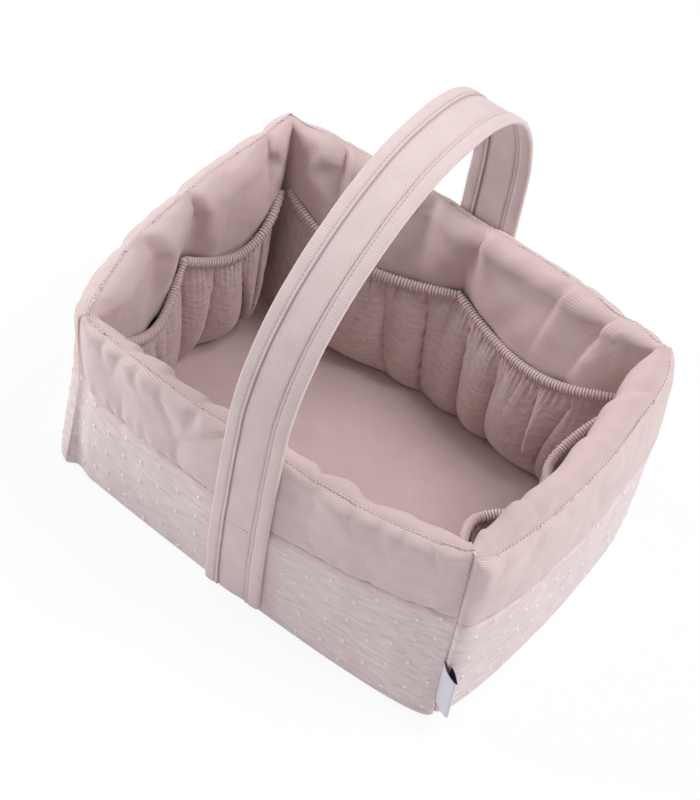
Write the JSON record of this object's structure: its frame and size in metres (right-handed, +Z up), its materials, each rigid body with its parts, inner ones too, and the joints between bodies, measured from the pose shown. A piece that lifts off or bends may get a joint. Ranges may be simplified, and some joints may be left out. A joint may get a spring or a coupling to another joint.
{
  "type": "layette basket",
  "caption": "Soft open-topped baby basket with padded walls, gathered elastic pockets inside, a firm floor and a wide strap handle that swings over the middle.",
  "frame": {"origin": "middle of the underside of the base, on the surface that the basket stands on", "axes": "+Z up; X along the basket's long side, the side tab at the +X end; -Y is the front long wall with the side tab at its +X corner, and the handle crosses over the middle along Y"},
  "size_m": [0.3684, 0.2933, 0.343],
  "materials": {
    "twill": "padded fine cotton twill, matte",
    "muslin": "cotton double muslin with raised woven dots, matte",
    "strap": "ribbed cotton strap fabric, matte",
    "webbing": "woven cotton webbing inside the strap",
    "wadding": "polyester wadding inside the walls",
    "board": "thin fibreboard stiffening the base",
    "ribbon": "plain satin ribbon, bare"
  },
  "bodies": {
    "basket": {"front_lower_panel": "muslin", "front_upper_band": "twill", "front_lining": "twill", "front_wall_padding": "wadding", "front_pocket_cloth": "muslin", "front_pocket_elastic": "muslin", "right_lower_panel": "muslin", "right_upper_band": "twill", "right_lining": "twill", "right_wall_padding": "wadding", "right_pocket_cloth": "muslin", "right_pocket_elastic": "muslin", "back_lower_panel": "muslin", "back_upper_band": "twill", "back_lining": "twill", "back_wall_padding": "wadding", "back_pocket_cloth": "muslin", "back_pocket_elastic": "muslin", "left_lower_panel": "muslin", "left_upper_band": "twill", "left_lining": "twill", "left_wall_padding": "wadding", "left_pocket_cloth": "muslin", "left_pocket_elastic": "muslin", "base_cover": "muslin", "base_board": "board", "floor_pad": "twill", "front_strap_end_core": "webbing", "front_strap_end_inner_facing": "strap", "front_strap_end_outer_facing": "strap", "front_strap_end_left_binding": "strap", "front_strap_end_right_binding": "strap", "back_strap_end_core": "webbing", "back_strap_end_inner_facing": "strap", "back_strap_end_outer_facing": "strap", "back_strap_end_left_binding": "strap", "back_strap_end_right_binding": "strap"},
    "handle": {"handle_core": "webbing", "handle_inner_facing": "strap", "handle_outer_facing": "strap", "handle_left_binding": "strap", "handle_right_binding": "strap"},
    "side_tab": {"side_tab": "ribbon"}
  },
  "joints": [
    {"name": "handle_swing", "type": "hinge", "parent": "basket", "child": "handle", "pos_m": [0, 0, 0.1108], "axis": [0, 1, 0], "range_deg": [-55, 55]},
    {"name": "side_tab_flap", "type": "hinge", "parent": "basket", "child": "side_tab", "pos_m": [0.16, -0.11668, 0.038], "axis": [0, 0, 1], "range_deg": [-60, 15]}
  ]
}
